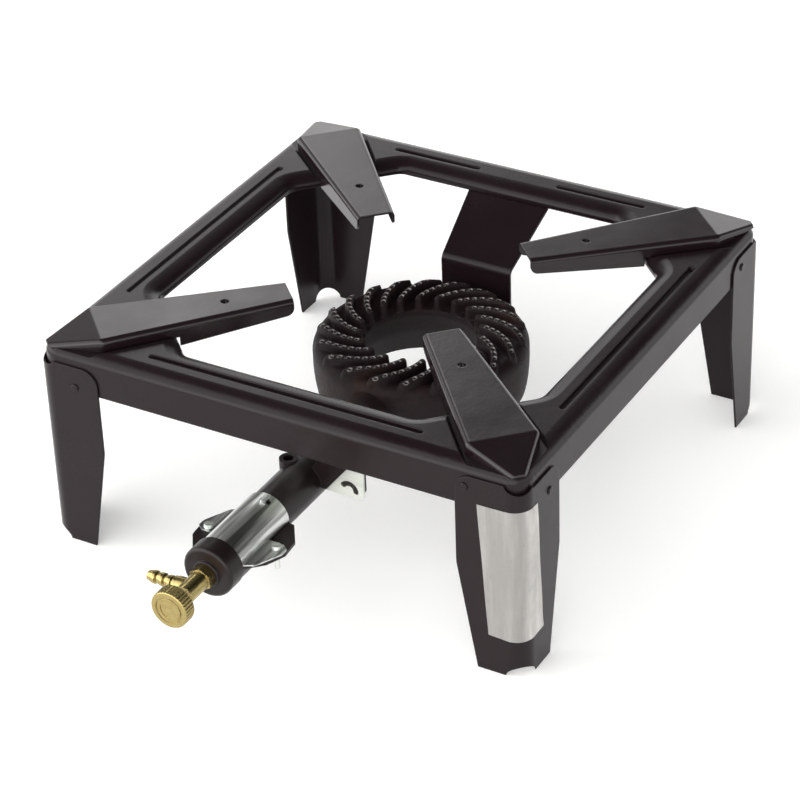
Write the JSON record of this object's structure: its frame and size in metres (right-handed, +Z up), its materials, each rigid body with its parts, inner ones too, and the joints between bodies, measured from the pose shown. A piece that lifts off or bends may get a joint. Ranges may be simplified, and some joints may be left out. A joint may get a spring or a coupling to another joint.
{
  "type": "gas burner stove",
  "caption": "Low square gas burner stove: pressed sheet frame on angle legs, corner pot supports, cast ring burner, mixing tube with sliding air shutter, brass needle valve and hose nozzle.",
  "frame": {"origin": "on the floor, under the centre of the square top frame", "axes": "+Z up; the mixing tube, air shutter and valve leave the front towards -Y; +X is to the right when facing the valve"},
  "size_m": [0.4054, 0.5432, 0.1774],
  "materials": {
    "enamel": "gloss",
    "tube_paint": "satin",
    "iron": "matte",
    "plated": "zinc plated",
    "brass": "machined",
    "seal": "matte",
    "foil": "satin foil"
  },
  "bodies": {
    "stove": {"top_frame": "enamel", "leg_front_left": "enamel", "leg_front_right": "enamel", "leg_rear_left": "enamel", "leg_rear_right": "enamel", "leg_rivets": "enamel", "pot_support_front_left": "enamel", "pot_support_front_right": "enamel", "pot_support_rear_left": "enamel", "pot_support_rear_right": "enamel", "rear_bracket": "enamel", "rear_bracket_screws": "plated", "front_bracket": "plated", "front_bracket_screw": "plated", "burner_casting": "iron", "burner_bottom_plate": "iron", "bottom_plate_screws": "plated", "mixing_tube": "tube_paint", "injector_holder": "tube_paint", "injector": "brass", "valve_body": "brass", "hose_nozzle": "brass", "gland_nut": "brass", "blank_label": "foil"},
    "air_shutter": {"shutter_cover": "plated", "shutter_cradle": "tube_paint", "shutter_screws": "plated", "shutter_nuts": "plated"},
    "spindle_travel": {"spindle_seal": "seal"},
    "knob": {"valve_knob": "brass", "valve_spindle": "brass"}
  },
  "joints": [
    {"name": "shutter_slide", "type": "slide", "parent": "stove", "child": "air_shutter", "axis": [0, 1, 0], "range_m": [0, 0.036]},
    {"name": "spindle_lift", "type": "slide", "parent": "stove", "child": "spindle_travel", "axis": [0, -1, 0], "range_m": [0, 0.0015]},
    {"name": "knob_turn", "type": "hinge", "parent": "spindle_travel", "child": "knob", "pos_m": [0, -0.335, 0.0864], "axis": [0, -1, 0], "range_deg": [0, 540]}
  ],
  "couplings": [
    {"joint": "knob_turn", "follows": "spindle_lift", "rad_per_m": 6283.2}
  ]
}
